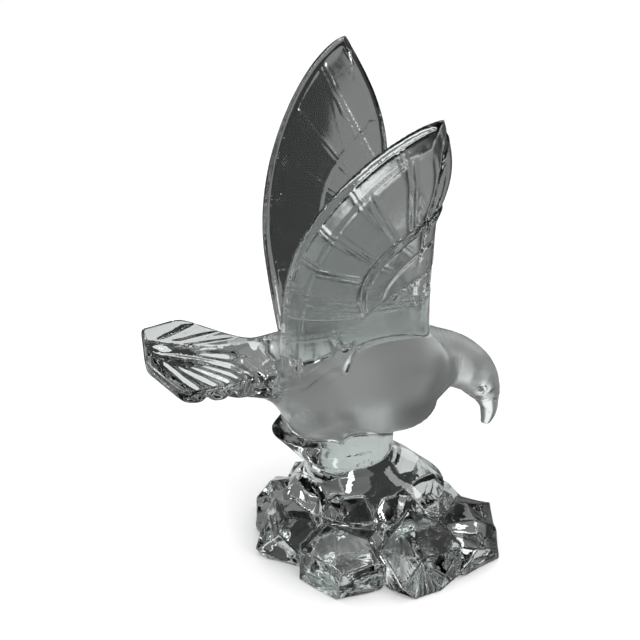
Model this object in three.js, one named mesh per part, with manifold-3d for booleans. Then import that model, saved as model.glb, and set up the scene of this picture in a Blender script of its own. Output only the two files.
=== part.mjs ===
// Crystal eagle sculpture: an eagle with raised wings on a rocky base, cast in one piece.
// Millimetres, +Z up. +X is the way the eagle faces, +Y is its left side.
// The origin is the centre of the flat underside.

import * as THREE from 'three';
import { ConvexGeometry } from 'three/addons/geometries/ConvexGeometry.js';
import { mergeVertices } from 'three/addons/utils/BufferGeometryUtils.js';
import Module from 'manifold-3d';

const wasm = await Module();
wasm.setup();

// Wings: each is a leaf in a leaning plane, from its tip down to a root inside the body
const TIP = { x: 1.4, y: 78.5, z: 230.5 };
const WING_ROOT = { y: 9.2, z: 88.5 };
const WING_LEAN = Math.atan2(TIP.y - WING_ROOT.y, TIP.z - WING_ROOT.z);
const WING_SPAN = Math.hypot(TIP.y - WING_ROOT.y, TIP.z - WING_ROOT.z);

// Outline behind and in front of the tip's line; shares count down the span
const WING_BACK = 51.5;
const WING_BACK_FULL = 0.66;
const WING_BACK_ROUND = 0.65;
const WING_ROOT_TAPER = { left: 9, right: 1 };
const WING_FRONT = 21;
const WING_BULGE = { left: 8, right: 4.5 };
const WING_BULGE_END = { left: 0.52, right: 0.34 };

// Section: thickness, how blunt the edges are, the cupped mid-surface and the outward turn at the root
const WING_TIP_THICK = 5;
const WING_ROOT_THICK = 12;
const WING_EDGE_POWER = 6;
const WING_CUP = 6;
const WING_ROOT_TURN = 0.7;
const WING_ROOT_OUT = 4;

// Feathers: they radiate from a hub near the front of the wing, one for each face
// Outer lines swing a little, so each has an angle in degrees at the coverts and one at the rim
const OUTER_HUB = { x: 8, down: 100 };
const OUTER_LINES = [[14.5, 12.5], [24, 25.5], [39.5, 43], [55, 65], [88, 84]];
const INNER_HUB = { x: 23.4, down: 104 };
const INNER_FIRST = 22.4;
const INNER_STEP = 14.2;
const INNER_COUNT = 7;
const INNER_REACH = 28;
const FEATHER_GAP = 2;
const FEATHER_GROOVE = { wide: 2.8, deep: 1 };
const COVERT_REACH = { towards_tip: 56, least: 24.5 };
const COVERT_START = -3.5;
const COVERT_END = 90;
const COVERT_GROOVE = { wide: 4, deep: 1.7 };
// The lower edge of the coverts, as places in front of the tip's line and down the span
const COVERT_FOOT = [[-20, 107], [-16.4, 99.8], [-6.7, 88.6], [6.8, 81.3], [15, 79]];
const RIM_INSET = 7;
const RIM_FROM = 0.1;
const RIM_TO = 0.82;
const RIM_GROOVE = { wide: 2.2, deep: 1 };
const CUTTER_OVER = 1;
const COVERT_ROUND = 0.6;
const REACH_STEP = 0.5;

// Body: stations along the spine as place and half sizes, from the tail root to the face
const SPINE = [
  { x: -60, z: 96, tall: 9, wide: 11 },
  { x: -48, z: 94, tall: 15.5, wide: 17 },
  { x: -32, z: 89, tall: 22, wide: 22 },
  { x: -12, z: 86, tall: 26, wide: 25.5 },
  { x: 8, z: 84.5, tall: 26.5, wide: 26.5 },
  { x: 23, z: 90, tall: 19, wide: 20.5 },
  { x: 36, z: 90.5, tall: 13.5, wide: 14.5 },
  { x: 47, z: 84, tall: 11.5, wide: 12 },
  { x: 54.5, z: 76, tall: 8.5, wide: 9 },
  { x: 59.5, z: 70, tall: 4, wide: 5.5 },
];
const BEAK = [
  { x: 50, z: 78, tall: 8.5, wide: 8 },
  { x: 55.5, z: 70.5, tall: 7, wide: 6.5 },
  { x: 58, z: 63, tall: 4.8, wide: 4.6 },
  { x: 58, z: 57, tall: 3.8, wide: 3 },
  { x: 57, z: 52.5, tall: 2.6, wide: 1.6 },
];
const EYE = { x: 50, y: 11, z: 76.5, radius: 2.4 };

// Tail: a fan with a thick rim, roof-shaped above and fluted below
const TAIL_ROOT = { x: -46, z: 94.5, y: 15, half: 14.5 };
const TAIL_CORNER = { x: -92, y: 38, z: 105.5, half: 8 };
const TAIL_SKEW = 2.5;
const TAIL_END = { x: -109, y: 18, z: 111.5, half: 7 };
const TAIL_STEPS = 5;
const TAIL_CURVE = 1.15;
const TAIL_ROOF_FROM = 0.8;
const TAIL_ABOVE = 0.7;
const TAIL_SLOPE = 0.6;
const TAIL_FLUTES = 8;
const TAIL_FLUTE_DEEP = 1.6;

// Shoulders, thighs and the stump that the bird stands on
const SHOULDER = { x: 0, y: 15.5, z: 98, long: 28, thick: 12, tall: 26 };
const THIGH = { x: -27, y: 9, z: 78.5, long: 21, wide: 15, tall: 17 };
const THIGH_TIP = { x: -21.5, y: 20.5, z: 62 };
const STUMP = [
  { z: 74, x: -18, long: 24, wide: 15 },
  { z: 61, x: -21.5, long: 30, wide: 21 },
  { z: 56, x: -19, long: 27.5, wide: 23 },
  { z: 50, x: -16.5, long: 24.5, wide: 24 },
  { z: 47.5, x: -14, long: 21, wide: 20 },
  { z: 43, x: -10.5, long: 22.5, wide: 21 },
  { z: 36.5, x: -6.5, long: 28, wide: 26 },
  { z: 24, x: -4, long: 40, wide: 34 },
];

// Rock: two tiers of faceted lumps around a core, cut flat below
const ROCK_LUMPS = [
  { x: -25, y: -39, radius: 22.5, tall: 27 },
  { x: 12, y: -41, radius: 23, tall: 28 },
  { x: 36, y: -32, radius: 20, tall: 23 },
  { x: 44, y: -14, radius: 16, tall: 15 },
  { x: 32, y: 12, radius: 18, tall: 12 },
  { x: 8, y: 31, radius: 21, tall: 16 },
  { x: -22, y: 29, radius: 20, tall: 18 },
  { x: -43.5, y: 12, radius: 18, tall: 23 },
  { x: -45, y: -10, radius: 18, tall: 25 },
  { x: -20, y: -19, radius: 18, tall: 38 },
  { x: 5, y: -23, radius: 17, tall: 36 },
  { x: 24, y: -12, radius: 17, tall: 30 },
  { x: -33, y: 0, radius: 16, tall: 35 },
  { x: -18, y: 14, radius: 17, tall: 31 },
  { x: 12, y: 8, radius: 18, tall: 28 },
  { x: 0, y: -3, radius: 46, tall: 16 },
];
const ROCK_ROUGHNESS = 0.16;
const LUMP_ROWS = [
  { height: 0.97, radius: 0.42, sides: 3 },
  { height: 0.66, radius: 0.86, sides: 5 },
  { height: 0.22, radius: 1.0, sides: 5 },
  { height: -0.35, radius: 0.9, sides: 5 },
];

// How finely the curved forms are faceted
const AROUND = 20;
const SPINE_STEPS = 20;
const BEAK_STEPS = 8;
const WING_STEPS = 20;
const WING_STEP_GROWTH = 1.25;
const WING_ACROSS = 8;
const FEATHER_STEPS = 3;
const COVERT_STEPS = 8;
const RIM_STEPS = 11;
const BALL_SIDES = 14;
const BALL_ROWS = 8;
const FACET_MERGE = 0.03;

// The wing's face towards the other wing, and the one away from it
const INNER = 1;
const OUTER = -1;

const vec = (x, y, z) => new THREE.Vector3(x, y, z);
const mix = THREE.MathUtils.lerp;
const wave = (n) => Math.sin(n * 12.9898 + 4.1414) * 43758.5453;
const chance = (n) => wave(n) - Math.floor(wave(n));
const spread = (from, to, steps) => [...Array(steps + 1).keys()].map((i) => mix(from, to, i / steps));
const turnTo = (i, count) => (i / count) * 2 * Math.PI;

// A closed solid through rings that all have the same number of points
function loft(rings) {
  const count = rings[0].length;
  const middle = (ring) => ring.reduce((sum, p) => sum.add(p), vec(0, 0, 0)).divideScalar(count);
  const points = [...rings.flat(), middle(rings[0]), middle(rings.at(-1))];
  const first = points.length - 2;
  const last = points.length - 1;
  const faces = [];
  for (let i = 0; i < count; i++) {
    const j = (i + 1) % count;
    for (let k = 0; k + 1 < rings.length; k++) {
      const a = k * count;
      const b = a + count;
      faces.push(a + i, a + j, b + j, a + i, b + j, b + i);
    }
    const end = (rings.length - 1) * count;
    faces.push(first, j, i, last, end + i, end + j);
  }
  return solid(points, faces);
}

// A manifold solid from points and faces, turned so that its faces point outward
function solid(points, faces) {
  let volume = 0;
  for (let i = 0; i < faces.length; i += 3) {
    const [a, b, c] = [points[faces[i]], points[faces[i + 1]], points[faces[i + 2]]];
    volume += a.dot(b.clone().cross(c));
  }
  const turned = volume > 0 ? faces : faces.toReversed();
  return new wasm.Manifold(new wasm.Mesh({
    numProp: 3,
    vertProperties: new Float32Array(points.flatMap((p) => p.toArray())),
    triVerts: new Uint32Array(turned),
  }));
}

function solidOf(geometry) {
  geometry.deleteAttribute('normal');
  geometry.deleteAttribute('uv');
  const merged = mergeVertices(geometry, 1e-4);
  const place = merged.getAttribute('position');
  const points = [];
  for (let i = 0; i < place.count; i++) points.push(vec().fromBufferAttribute(place, i));
  return solid(points, [...merged.index.array]);
}

const hull = (points) => solidOf(new ConvexGeometry(points));
const join = (solids) => solids.reduce((all, one) => all.add(one));

// Elliptical rings square to a spine that lies in the plane y = 0
function spineRings(stations, steps) {
  const path = new THREE.CatmullRomCurve3(stations.map((s) => vec(s.x, 0, s.z)), false, 'centripetal');
  const sizes = new THREE.CatmullRomCurve3(stations.map((s) => vec(s.tall, s.wide, 0)), false, 'centripetal');
  const rings = [];
  for (let k = 0; k <= steps; k++) {
    const t = k / steps;
    const centre = path.getPoint(t);
    const along = path.getTangent(t);
    const up = vec(-along.z, 0, along.x);
    const size = sizes.getPoint(t);
    const ring = [];
    for (let i = 0; i < AROUND; i++) {
      const a = turnTo(i, AROUND);
      const aside = vec(0, size.y * Math.cos(a), 0);
      ring.push(aside.addScaledVector(up, size.x * Math.sin(a)).add(centre));
    }
    rings.push(ring);
  }
  return rings;
}

// The wing outline: how far behind and in front of the tip it reaches, down the span
function wingBack(side, u) {
  const full = Math.sin(Math.min(1, u / WING_BACK_FULL) * Math.PI / 2) ** WING_BACK_ROUND;
  return WING_ROOT_TAPER[side] * u ** 4 - WING_BACK * full;
}
function wingFront(side, u) {
  return WING_FRONT * u + WING_BULGE[side] * Math.sin(Math.min(1, u / WING_BULGE_END[side]) * Math.PI);
}
// Half the thickness at a place, full in the middle and rounded off at both edges
function wingHalf(u, q) {
  const full = Math.sqrt(Math.max(0, 1 - Math.abs(2 * q - 1) ** WING_EDGE_POWER));
  return mix(WING_TIP_THICK, WING_ROOT_THICK, u) / 2 * full;
}

// A point of a wing: u down the span, q from the back edge to the front one, h towards the other wing
function wingPoint(side, u, q, h) {
  const s = side === 'left' ? 1 : -1;
  const down = vec(0, -s * Math.sin(WING_LEAN), -Math.cos(WING_LEAN));
  const inward = vec(0, -s * Math.cos(WING_LEAN), Math.sin(WING_LEAN));
  const along = mix(wingBack(side, u), wingFront(side, u), q);
  const turn = Math.max(0, u - WING_ROOT_TURN) / (1 - WING_ROOT_TURN);
  const cup = WING_CUP * Math.sin(u * Math.PI) * (2 * q - 1) ** 2;
  return vec(TIP.x + along, s * TIP.y, TIP.z)
    .addScaledVector(down, u * WING_SPAN)
    .addScaledVector(inward, h + cup - WING_ROOT_OUT * turn ** 2);
}

function wing(side) {
  const rings = [];
  for (let k = 0; k <= WING_STEPS; k++) {
    const u = ((k + 0.1) / (WING_STEPS + 0.1)) ** WING_STEP_GROWTH;
    const ring = [];
    for (const face of [INNER, OUTER]) {
      for (let i = 0; i < WING_ACROSS; i++) {
        const q = (1 - face * Math.cos((i + 0.5) / WING_ACROSS * Math.PI)) / 2;
        ring.push(wingPoint(side, u, q, face * wingHalf(u, q)));
      }
    }
    rings.push(ring);
  }
  return loft(rings);
}

// A place on the wing's outer or inner face, from x and the way down the span in millimetres
function facePoint(side, face, x, down, lift) {
  const u = down / WING_SPAN;
  const back = wingBack(side, u);
  const q = (x - back) / (wingFront(side, u) - back);
  return wingPoint(side, u, q, face * (wingHalf(u, q) + lift));
}

// A V-shaped cutter along a line of (x, down) places on a face of the wing
function cutter(side, face, line, size) {
  const rings = line.map((place, k) => {
    const ahead = line[Math.min(k + 1, line.length - 1)];
    const behind = line[Math.max(k - 1, 0)];
    const way = ahead.clone().sub(behind).normalize();
    const half = size.wide / 2 * (1 + CUTTER_OVER / size.deep);
    const left = place.clone().add(new THREE.Vector2(-way.y, way.x).multiplyScalar(half));
    const right = place.clone().add(new THREE.Vector2(way.y, -way.x).multiplyScalar(half));
    return [
      facePoint(side, face, left.x, left.y, CUTTER_OVER),
      facePoint(side, face, right.x, right.y, CUTTER_OVER),
      facePoint(side, face, place.x, place.y, -size.deep),
    ];
  });
  return loft(rings);
}

// The place at an angle and a distance from a hub, counted from the tip towards the back
function fromHub(hub, degrees, reach) {
  const angle = THREE.MathUtils.degToRad(degrees);
  return new THREE.Vector2(hub.x - reach * Math.sin(angle), hub.down - reach * Math.cos(angle));
}
function covertReach(degrees) {
  const turned = THREE.MathUtils.clamp(degrees / COVERT_END, 0, 1);
  return mix(COVERT_REACH.towards_tip, COVERT_REACH.least, turned ** COVERT_ROUND);
}
// The place on a ray from a hub where it comes to the rim
function atRim(side, hub, degrees, from) {
  let reach = from;
  const beforeRim = (p) => p.y > 0 && p.x > wingBack(side, p.y / WING_SPAN) + RIM_INSET;
  while (beforeRim(fromHub(hub, degrees, reach))) reach += REACH_STEP;
  return fromHub(hub, degrees, reach);
}
const between = (a, b) => spread(0, 1, FEATHER_STEPS).map((t) => a.clone().lerp(b, t));

// Feather lines of the outer face, and the two edges of the coverts that they start from
function outerLines(side) {
  const feathers = OUTER_LINES.map(([start, end]) => {
    const reach = covertReach(start) + FEATHER_GAP;
    return between(fromHub(OUTER_HUB, start, reach), atRim(side, OUTER_HUB, end, reach));
  });
  const edge = spread(COVERT_START, COVERT_END, COVERT_STEPS);
  const foot = COVERT_FOOT.map(([x, down]) => new THREE.Vector2(x, down));
  const coverts = [edge.map((a) => fromHub(OUTER_HUB, a, covertReach(a))), foot];
  return [
    ...feathers.map((line) => cutter(side, OUTER, line, FEATHER_GROOVE)),
    ...coverts.map((line) => cutter(side, OUTER, line, COVERT_GROOVE)),
  ];
}

// The plainer fan of the inner face
function innerLines(side) {
  return [...Array(INNER_COUNT).keys()].map((k) => {
    const angle = INNER_FIRST + k * INNER_STEP;
    const line = between(fromHub(INNER_HUB, angle, INNER_REACH), atRim(side, INNER_HUB, angle, INNER_REACH));
    return cutter(side, INNER, line, FEATHER_GROOVE);
  });
}

function rimLine(side, face) {
  const line = spread(RIM_FROM, RIM_TO, RIM_STEPS).map((u) => (
    new THREE.Vector2(wingBack(side, u) + RIM_INSET, u * WING_SPAN)));
  return cutter(side, face, line, RIM_GROOVE);
}

function carvedWing(side) {
  const rims = [rimLine(side, OUTER), rimLine(side, INNER)];
  return wing(side).subtract(join([...outerLines(side), ...innerLines(side), ...rims]));
}

// The tail through stations of outline, height and thickness, from the root to the end
function tail() {
  const stations = spread(0, 1, TAIL_STEPS).map((t) => ({
    x: mix(TAIL_ROOT.x, TAIL_CORNER.x, t),
    z: mix(TAIL_ROOT.z, TAIL_CORNER.z, t ** TAIL_CURVE),
    y: mix(TAIL_ROOT.y, TAIL_CORNER.y, t ** TAIL_CURVE),
    half: mix(TAIL_ROOT.half, TAIL_CORNER.half, t),
    roof: Math.min(1, t / TAIL_ROOF_FROM),
    above: mix(1, TAIL_ABOVE, t),
    flute: TAIL_FLUTE_DEEP * t,
    skew: TAIL_SKEW * t,
  }));
  stations.push({ ...TAIL_END, roof: 1, above: TAIL_ABOVE, flute: TAIL_FLUTE_DEEP, skew: 0 });
  const across = 2 * TAIL_FLUTES;
  return loft(stations.map((s) => {
    const top = [];
    const below = [];
    for (let i = 0; i <= across; i++) {
      const v = 2 * i / across - 1;
      const rise = s.half * mix(Math.sqrt(1 - v * v), 1 - TAIL_SLOPE * Math.abs(v), s.roof);
      const flute = i % 2 === 1 ? s.flute : 0;
      const x = s.x + v * s.skew;
      top.push(vec(x, v * s.y, s.z + rise * s.above));
      below.push(vec(x, v * s.y, s.z - rise + flute));
    }
    return [...top, ...below.reverse()];
  }));
}

// Points of a ball stretched to half sizes, tipped about X and moved to its centre
function ballPoints(half, tip, centre) {
  const ball = new THREE.SphereGeometry(1, BALL_SIDES, BALL_ROWS);
  ball.scale(half.x, half.y, half.z).rotateX(tip).translate(centre.x, centre.y, centre.z);
  const place = ball.getAttribute('position');
  return [...Array(place.count).keys()].map((i) => vec().fromBufferAttribute(place, i));
}

function shoulder(side) {
  const half = vec(SHOULDER.long, SHOULDER.thick, SHOULDER.tall);
  return hull(ballPoints(half, -side * WING_LEAN, vec(SHOULDER.x, side * SHOULDER.y, SHOULDER.z)));
}

function eye(side) {
  const half = vec(EYE.radius, EYE.radius, EYE.radius);
  return hull(ballPoints(half, 0, vec(EYE.x, side * EYE.y, EYE.z)));
}

function thigh(side) {
  const half = vec(THIGH.long, THIGH.wide, THIGH.tall);
  const points = ballPoints(half, 0, vec(THIGH.x, side * THIGH.y, THIGH.z));
  return hull([...points, vec(THIGH_TIP.x, side * THIGH_TIP.y, THIGH_TIP.z)]);
}

function stump() {
  return loft(STUMP.map((s) => {
    const ring = [];
    for (let i = 0; i < AROUND; i++) {
      const a = turnTo(i, AROUND);
      ring.push(vec(s.x + s.long * Math.cos(a), s.wide * Math.sin(a), s.z));
    }
    return ring;
  }));
}

// One faceted lump of rock, from rows of points pushed in and out by a fixed rule
function lump(x, y, radius, tall, seed) {
  const points = [];
  LUMP_ROWS.forEach((row, r) => {
    for (let i = 0; i < row.sides; i++) {
      const n = seed * 31 + r * 7 + i;
      const a = ((i + 0.5 * (r % 2) + 0.35 * (chance(n) - 0.5)) / row.sides + chance(seed)) * 2 * Math.PI;
      const reach = radius * row.radius * (1 + ROCK_ROUGHNESS * (chance(n + 0.5) - 0.5) * 2);
      const z = tall * (row.height + ROCK_ROUGHNESS * (chance(n + 0.25) - 0.5));
      points.push(vec(x + reach * Math.cos(a), y + reach * Math.sin(a), z));
    }
  });
  return hull(points);
}

const rock = () => join(ROCK_LUMPS.map((l, i) => lump(l.x, l.y, l.radius, l.tall, i + 1)));

// All the forms joined, without the closed voids between the lumps of rock, which the casting fills
function build() {
  const bird = [
    loft(spineRings(SPINE, SPINE_STEPS)),
    loft(spineRings(BEAK, BEAK_STEPS)),
    tail(),
    carvedWing('left'),
    carvedWing('right'),
    shoulder(1),
    shoulder(-1),
    thigh(1),
    thigh(-1),
    stump(),
    rock(),
  ];
  const carved = join(bird).subtract(eye(1)).subtract(eye(-1));
  const pieces = carved.trimByPlane([0, 0, 1], 0).decompose();
  const outer = pieces.reduce((most, piece) => (piece.volume() > most.volume() ? piece : most));
  const whole = outer.simplify(FACET_MERGE);
  const mesh = whole.getMesh();
  const geometry = new THREE.BufferGeometry();
  geometry.setAttribute('position', new THREE.BufferAttribute(mesh.vertProperties, 3));
  geometry.setIndex(new THREE.BufferAttribute(mesh.triVerts, 1));
  return geometry;
}

const eagle = new THREE.Mesh(build(), new THREE.MeshStandardMaterial({
  color: 0xdfe6e4,
  roughness: 0.05,
  metalness: 0,
}));
eagle.name = 'crystal_eagle';

const group = new THREE.Group();
group.add(eagle);
export default group;
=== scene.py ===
# %% [markdown]
# # A crystal eagle
#
# The object is one block of clear lead crystal: an eagle with raised wings, a fan tail and a hooked
# beak, on a stump that grows out of faceted rocks. It was pressed in a mould and then fire polished,
# so every form flows into the next, and nothing on it is joined.
#
# The CAD model gives the size and the solid. This lesson makes the fine surface of the same solid:
# the feather lines, the polished edges and the scooped facets of the rock.

import bmesh
import bpy
import numpy as np
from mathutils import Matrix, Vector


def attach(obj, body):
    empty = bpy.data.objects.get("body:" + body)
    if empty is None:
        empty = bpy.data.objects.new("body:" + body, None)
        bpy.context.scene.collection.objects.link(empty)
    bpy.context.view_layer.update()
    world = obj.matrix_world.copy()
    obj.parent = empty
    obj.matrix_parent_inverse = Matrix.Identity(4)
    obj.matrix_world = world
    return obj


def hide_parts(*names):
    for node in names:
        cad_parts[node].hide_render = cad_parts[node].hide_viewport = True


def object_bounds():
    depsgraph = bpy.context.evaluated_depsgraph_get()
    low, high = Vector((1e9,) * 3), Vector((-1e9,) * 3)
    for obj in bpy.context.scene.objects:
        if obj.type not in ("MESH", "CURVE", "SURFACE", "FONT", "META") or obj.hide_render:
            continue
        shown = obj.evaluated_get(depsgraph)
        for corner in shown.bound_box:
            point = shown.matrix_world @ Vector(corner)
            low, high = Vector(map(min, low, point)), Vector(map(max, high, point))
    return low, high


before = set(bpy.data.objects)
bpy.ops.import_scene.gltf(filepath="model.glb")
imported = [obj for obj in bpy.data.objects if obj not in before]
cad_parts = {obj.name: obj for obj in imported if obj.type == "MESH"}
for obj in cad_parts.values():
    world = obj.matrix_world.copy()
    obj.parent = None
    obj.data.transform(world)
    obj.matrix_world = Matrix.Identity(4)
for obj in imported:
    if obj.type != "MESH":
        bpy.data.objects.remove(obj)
CAD_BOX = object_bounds()
MM = 0.001
print("CAD box in mm:", np.round(np.array(CAD_BOX) / MM, 1).tolist())

# %% [markdown]
# ## The camera
#
# A long lens half a metre away, 26 degrees above the table and 12 degrees behind the bird's right
# side. The direction came from the two wing tips and the two tail corners, which are level pairs.

# %% Camera
from mathutils import Matrix, Vector

VIEW_TURN = np.radians(-12)
VIEW_RISE = np.radians(26)
VIEW_DISTANCE = 500
VIEW_TARGET = Vector((-27.8, 0, 117.9))
LENS = 61.0
back = Vector((
    np.sin(VIEW_TURN) * np.cos(VIEW_RISE),
    -np.cos(VIEW_TURN) * np.cos(VIEW_RISE),
    np.sin(VIEW_RISE),
))
camera_data = bpy.data.cameras.new("camera")
camera_data.lens = LENS
camera = bpy.data.objects.new("camera", camera_data)
bpy.context.scene.collection.objects.link(camera)
right = Vector((0, 0, 1)).cross(back).normalized()
turn = Matrix((right, back.cross(right), back)).transposed().to_4x4()
camera.matrix_world = Matrix.Translation((VIEW_TARGET + back * VIEW_DISTANCE) * MM) @ turn
bpy.context.scene.camera = camera
bpy.context.scene.view_settings.view_transform = "Standard"
print("camera at", [round(v / MM) for v in camera.location])

# %% [markdown]
# ## The studio
#
# Glass has almost no look of its own: it shows what is around it, bent. Photographers light it with
# grey and black cards, which draw the edges, and with large soft boxes, which draw the highlights.
# The cards here are seen only by rays that the crystal bends or mirrors, and the camera itself sees
# the pale floor and a white room. Most cards are placed for this one camera, each where some part
# of the figure, seen from here, happens to look. From another side the tones differ.

# %% Floor, cards and lamps
PAPER_ROUGH = 0.6
PAPER_WHITE = 0.97


def put(name, mesh, material):
    piece = bpy.data.objects.new(name, mesh)
    bpy.context.scene.collection.objects.link(piece)
    mesh.materials.append(material)
    return piece


def plane(name, centre, across, up, material):
    """A flat rectangle from its centre and its two half sides, all in millimetres."""
    c, a, b = (Vector(v) * MM for v in (centre, across, up))
    mesh = bpy.data.meshes.new(name)
    mesh.from_pydata([c - a - b, c + a - b, c + a + b, c - a + b], [], [(0, 1, 2, 3)])
    return put(name, mesh, material)


def plain(name, colour):
    material = bpy.data.materials.new(name)
    material.use_nodes = True
    shader = material.node_tree.nodes["Principled BSDF"]
    shader.inputs["Base Color"].default_value = (*colour, 1)
    shader.inputs["Roughness"].default_value = PAPER_ROUGH
    shader.inputs["Specular IOR Level"].default_value = 0
    return material


def glowing(name, strength):
    material = bpy.data.materials.new(name)
    material.use_nodes = True
    nodes = material.node_tree.nodes
    nodes.clear()
    lamp = nodes.new("ShaderNodeEmission")
    lamp.inputs["Strength"].default_value = strength
    out = nodes.new("ShaderNodeOutputMaterial")
    material.node_tree.links.new(lamp.outputs[0], out.inputs["Surface"])
    return material


def only_in_glass(card):
    """Hides a card from the camera and from the lighting of matt surfaces."""
    card.visible_camera = False
    card.visible_diffuse = False
    card.visible_shadow = False


FLOOR_HALF = 3000
FLOOR_DROP = 0.3
paper = plain("floor", (PAPER_WHITE, PAPER_WHITE, PAPER_WHITE))
floor = plane("floor", (0, 0, -FLOOR_DROP), (FLOOR_HALF, 0, 0), (0, FLOOR_HALF, 0), paper)
floor.visible_transmission = False
floor.visible_glossy = False

# Each card's centre and its two half sides in millimetres, and how bright it is
CARDS = {
    "table_card": ((0, 0, -1), (900, 0, 0), (0, 900, 0), 0.22),
    "base_front": ((0, -38, -0.8), (75, 0, 0), (0, 42, 0), 0.005),
    "base_back": ((10, 42, -0.8), (42, 0, 0), (0, 36, 0), 0.62),
    "behind_tail": ((-230, 145, -0.7), (205, 0, 0), (0, 85, 0), 0.85),
    "behind_head": ((150, 290, -0.8), (32, 0, 0), (0, 25, 0), 0.9),
    "beside_head": ((98, 90, 48), (32, 0, 0), (0, 0, 34), 1.1),
    "near_left": ((-330, -160, -0.8), (230, 0, 0), (0, 110, 0), 0.01),
    "dark_left": ((-700, -100, 160), (0, 300, 0), (0, 0, 120), 0.015),
    "soft_box_right": ((620, -160, 420), (40, 90, 0), (-50, 0, 110), 5.0),
    "soft_box_top": ((-20, -120, 900), (140, 0, 0), (0, 95, 0), 7.0),
    "strip_left": ((-420, -420, 330), (18, -18, 0), (0, 0, 220), 3.0),
    "strip_back": ((260, 720, 240), (30, 0, 0), (0, 0, 330), 2.0),
}
for name, (centre, across, up, strength) in CARDS.items():
    only_in_glass(plane(name, centre, across, up, glowing(name, strength)))

# A broad card above and behind, which is seen only where the crystal mirrors it
SHEEN_STRENGTH = 0.8
sheen = plane("sheen", (0, 380, 640), (700, 0, 0), (0, 520, -290), glowing("sheen", SHEEN_STRENGTH))
sheen.visible_transmission = False
only_in_glass(sheen)

# A dark card behind the far wing alone, cut on a slant along the near wing, as (x, z) at one depth
WING_CARD_Y = 150
WING_CARD_STRENGTH = 0.035
WING_CARD = [(-160, 310), (10, 305), (10, 95), (-26, 36), (-43, -0.5), (-160, -0.5)]
wing_card = bpy.data.meshes.new("wing_card")
corners = [Vector((x, WING_CARD_Y, z)) * MM for x, z in WING_CARD]
wing_card.from_pydata(corners, [], [tuple(range(len(corners)))])
only_in_glass(put("wing_card", wing_card, glowing("wing_card", WING_CARD_STRENGTH)))

world = bpy.data.worlds.new("studio")
bpy.context.scene.world = world
world.use_nodes = True
nodes, links = world.node_tree.nodes, world.node_tree.links
nodes.clear()
ROOM_WHITE = 1.35
ROOM_LOW = 0.02
ROOM_HIGH = 0.34
seen = nodes.new("ShaderNodeLightPath")
direct = nodes.new("ShaderNodeMath")
direct.operation = "MAXIMUM"
links.new(seen.outputs["Is Camera Ray"], direct.inputs[0])
links.new(seen.outputs["Is Diffuse Ray"], direct.inputs[1])
where = nodes.new("ShaderNodeTexCoord")
split = nodes.new("ShaderNodeSeparateXYZ")
links.new(where.outputs["Generated"], split.inputs[0])
rise = nodes.new("ShaderNodeMapRange")
rise.inputs["To Min"].default_value = ROOM_LOW
rise.inputs["To Max"].default_value = ROOM_HIGH
links.new(split.outputs["Z"], rise.inputs["Value"])
strength = nodes.new("ShaderNodeMix")
strength.inputs["B"].default_value = ROOM_WHITE
links.new(direct.outputs[0], strength.inputs["Factor"])
links.new(rise.outputs["Result"], strength.inputs["A"])
room = nodes.new("ShaderNodeBackground")
out = nodes.new("ShaderNodeOutputWorld")
links.new(strength.outputs["Result"], room.inputs["Strength"])
links.new(room.outputs[0], out.inputs["Surface"])

# (place, size, power in watts) of each lamp, in millimetres
LAMPS = {
    "overhead": ((-100, -100, 900), 900, 3),
    "front": ((500, -700, 600), 500, 2),
}
for name, (place, size, power) in LAMPS.items():
    data = bpy.data.lights.new(name, "AREA")
    data.size = size * MM
    data.energy = power
    lamp = bpy.data.objects.new(name, data)
    bpy.context.scene.collection.objects.link(lamp)
    lamp.visible_glossy = False
    lamp.visible_transmission = False
    lamp.location = Vector(place) * MM
    lamp.rotation_euler = (Vector(place) - VIEW_TARGET).to_track_quat("Z", "Y").to_euler()
print("studio:", len(CARDS), "flat cards, a sheen, a wing card and", len(LAMPS), "lamps")

# %% [markdown]
# ## A solid as a rule
#
# One way to model a casting is to sculpt it, and another is to join meshes with booleans, which
# leaves hard seams. Here each form is a rule that gives the distance from any place to its surface,
# negative inside. Two forms are joined by the smaller distance, rounded over a few millimetres where
# they meet, which is just what molten glass does in a mould.

# %% Joining and cutting
FAR = 20.0
TINY = 1e-6


def blend(a, b, soft):
    """The union of two distances, with the crease between them filled over soft millimetres."""
    near = np.maximum(soft - np.abs(a - b), 0) / soft
    return np.minimum(a, b) - near * near * soft / 4


def carve(a, b, soft):
    """The first form less the second one, with a soft lip."""
    return -blend(-a, b, soft)


def overlap(a, b, radius):
    """The part that two forms share, with its edge rounded to a radius."""
    a, b = a + radius, b + radius
    return np.hypot(np.maximum(a, 0), np.maximum(b, 0)) + np.minimum(np.maximum(a, b), 0) - radius


def mix(a, b, t):
    return a + (b - a) * t


def fade(low, high, x):
    """0 below low and 1 above high, with a smooth change between."""
    t = np.clip((x - low) / (high - low), 0, 1)
    return t * t * (3 - 2 * t)


def line_mark(distance, wide):
    """1 on a line and 0 beside it."""
    return np.exp(-((distance / wide) ** 2))


def stretched(offset, half):
    """The distance to an ellipsoid of these half sizes, from offsets to its centre."""
    scaled = np.sqrt(((offset / half) ** 2).sum(-1)) + TINY
    slope = np.sqrt(((offset / np.square(half)) ** 2).sum(-1)) + TINY
    return scaled * (scaled - 1) / slope


def capsule(place, start, end, radius):
    """The distance to a rod with round ends."""
    start, end = np.array(start, float), np.array(end, float)
    way = end - start
    t = np.clip((place - start) @ way / (way @ way), 0, 1)
    return np.linalg.norm(place - start - t[:, None] * way, axis=1) - radius


filled = blend(np.zeros(1), np.zeros(1), 4.0)[0]
print("where two surfaces cross, a blend of 4 mm gives", filled, "mm in place of 0")

# %% [markdown]
# ## Body and beak
#
# The body is a spindle bent over at the neck. Stations along the spine give its height and width,
# a smooth curve runs through them, and each place looks for the nearest point of that curve. The
# beak is a second, thinner spindle that starts inside the face.

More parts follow.
